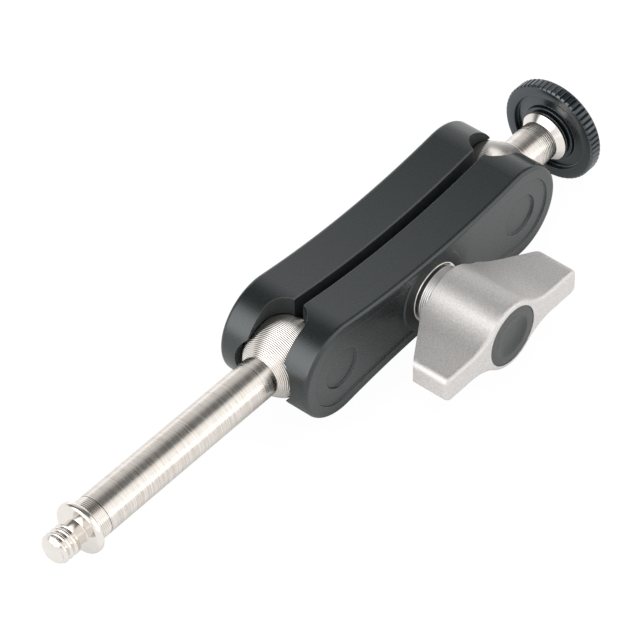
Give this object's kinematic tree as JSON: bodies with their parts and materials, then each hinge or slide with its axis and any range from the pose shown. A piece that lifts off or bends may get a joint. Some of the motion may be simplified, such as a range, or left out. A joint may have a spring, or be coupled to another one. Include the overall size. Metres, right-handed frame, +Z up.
{
  "type": "articulating friction arm",
  "caption": "Articulating friction arm: jaws on a clamp bolt grip a ball at each end; one ball has a long threaded stud, the other a short stud with a lock wheel.",
  "frame": {"origin": "centre of the seating face of the long stud's flange, where the mounted thing's face meets it", "axes": "-X is the way the long stud's thread points, +X runs along the arm to the lock wheel, -Y is the knob's side, +Z is up"},
  "size_m": [0.153, 0.0409, 0.0218],
  "materials": {
    "jaw_black": "satin black anodised",
    "wheel_black": "satin black anodised",
    "nickel": "turned and nickel plated",
    "bolt_steel": "zinc plated",
    "knob_metal": "satin grained casting",
    "cap_plastic": "matte",
    "black_plastic": "smooth",
    "pad_rubber": "matte"
  },
  "bodies": {
    "rear_clamp": {"rear_jaw": "jaw_black", "clamp_bolt": "bolt_steel", "retaining_clip": "bolt_steel", "opening_spring": "bolt_steel"},
    "front_clamp": {"front_jaw": "jaw_black", "jaw_washer": "nickel"},
    "knob": {"sliding_washer": "black_plastic", "knob_boss": "nickel", "wing_knob": "knob_metal", "knob_cap": "cap_plastic"},
    "long_ball_body": {"long_ball": "nickel"},
    "long_stud_body": {"long_rod": "nickel", "thread_tip": "nickel"},
    "short_ball_body": {"short_ball": "nickel"},
    "short_stud_body": {"short_stud": "nickel"},
    "wheel_slide_body": {"wheel_pad": "pad_rubber"},
    "wheel_body": {"lock_wheel": "wheel_black"}
  },
  "joints": [
    {"name": "jaw_opening", "type": "slide", "parent": "rear_clamp", "child": "front_clamp", "axis": [0, -1, 0], "range_m": [0, 0.0015]},
    {"name": "knob_turn", "type": "hinge", "parent": "front_clamp", "child": "knob", "pos_m": [0.0886, 0, 0], "axis": [0, -1, 0], "range_deg": [0, 540.5]},
    {"name": "long_ball_swing", "type": "hinge", "parent": "rear_clamp", "child": "long_ball_body", "pos_m": [0.0573, 0, 0], "axis": [0, 1, 0], "range_deg": [-90, 90]},
    {"name": "long_stud_spin", "type": "hinge", "parent": "long_ball_body", "child": "long_stud_body", "pos_m": [0.0573, 0, 0], "axis": [1, 0, 0], "continuous": true},
    {"name": "short_ball_swing", "type": "hinge", "parent": "rear_clamp", "child": "short_ball_body", "pos_m": [0.1199, 0, 0], "axis": [0, 1, 0], "range_deg": [-90, 90]},
    {"name": "short_stud_spin", "type": "hinge", "parent": "short_ball_body", "child": "short_stud_body", "pos_m": [0.1199, 0, 0], "axis": [1, 0, 0], "continuous": true},
    {"name": "wheel_advance", "type": "slide", "parent": "short_stud_body", "child": "wheel_slide_body", "axis": [1, 0, 0], "range_m": [0, 0.00254]},
    {"name": "lock_wheel_turn", "type": "hinge", "parent": "wheel_slide_body", "child": "wheel_body", "pos_m": [0.1399, 0, 0], "axis": [1, 0, 0], "range_deg": [0, 720.5]}
  ],
  "couplings": [
    {"joint": "knob_turn", "follows": "jaw_opening", "rad_per_m": 6283.2},
    {"joint": "lock_wheel_turn", "follows": "wheel_advance", "rad_per_m": 4947.4}
  ]
}
